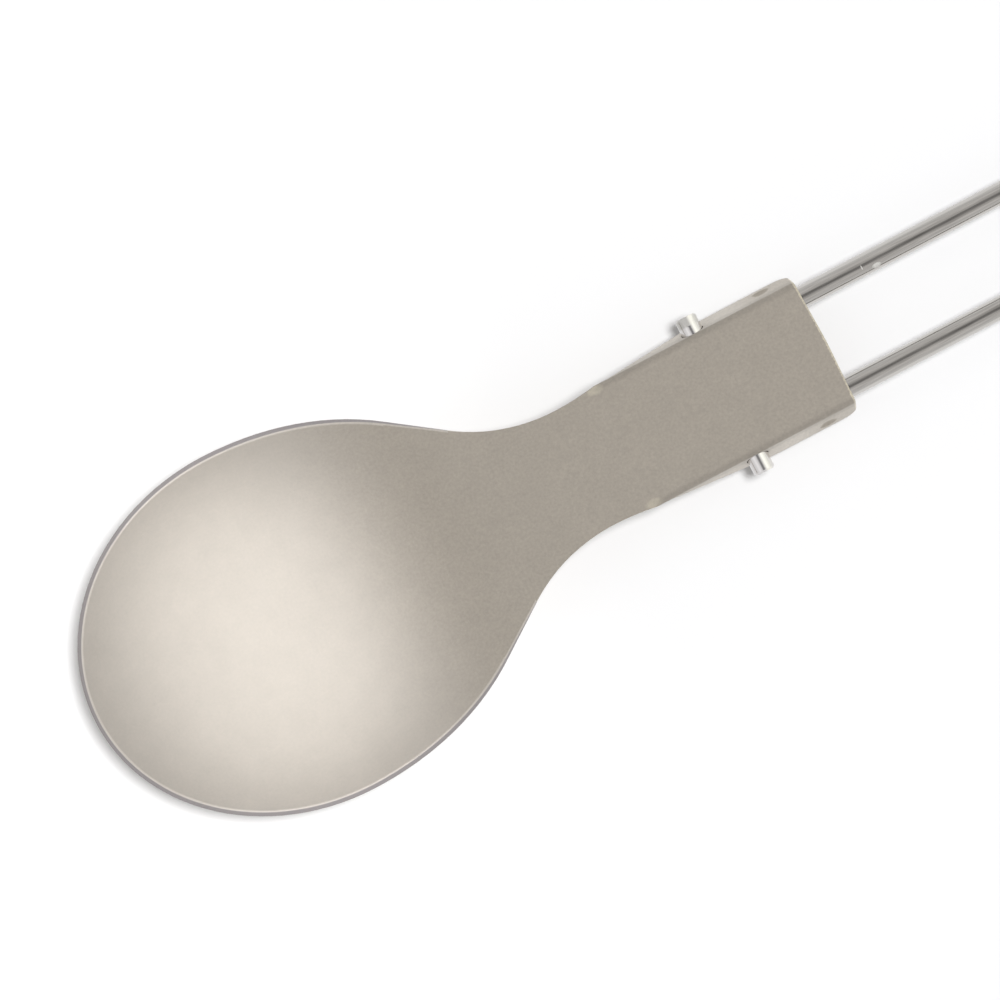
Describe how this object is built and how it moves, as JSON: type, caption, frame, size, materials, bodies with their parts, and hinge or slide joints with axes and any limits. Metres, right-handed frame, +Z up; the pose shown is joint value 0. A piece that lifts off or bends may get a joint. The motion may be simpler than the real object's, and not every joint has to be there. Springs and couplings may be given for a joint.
{
  "type": "folding spoon",
  "caption": "Folding camp spoon: an egg-shaped bowl and a flat plate pressed from one sheet, on a looped wire handle that swings under the bowl on its own turned-out ends.",
  "frame": {"origin": "on the table, under the middle of the open spoon's length", "axes": "+X from the bowl to the far end of the handle, +Y to the left seen from the bowl's tip looking along +X, +Z up from the table"},
  "size_m": [0.1648, 0.038, 0.0093],
  "materials": {
    "blasted_sheet": "titanium, bead-blasted to a fine matt grain",
    "drawn_wire": "titanium, drawn and bright, with fine lengthwise streaks"
  },
  "bodies": {
    "head": {"spoon_head": "blasted_sheet"},
    "handle": {"wire_handle": "drawn_wire"}
  },
  "joints": [
    {"name": "handle_fold", "type": "hinge", "parent": "head", "child": "handle", "pos_m": [-0.01022, 0, 0.00531], "axis": [0, 1, 0], "range_deg": [0, 170]}
  ]
}
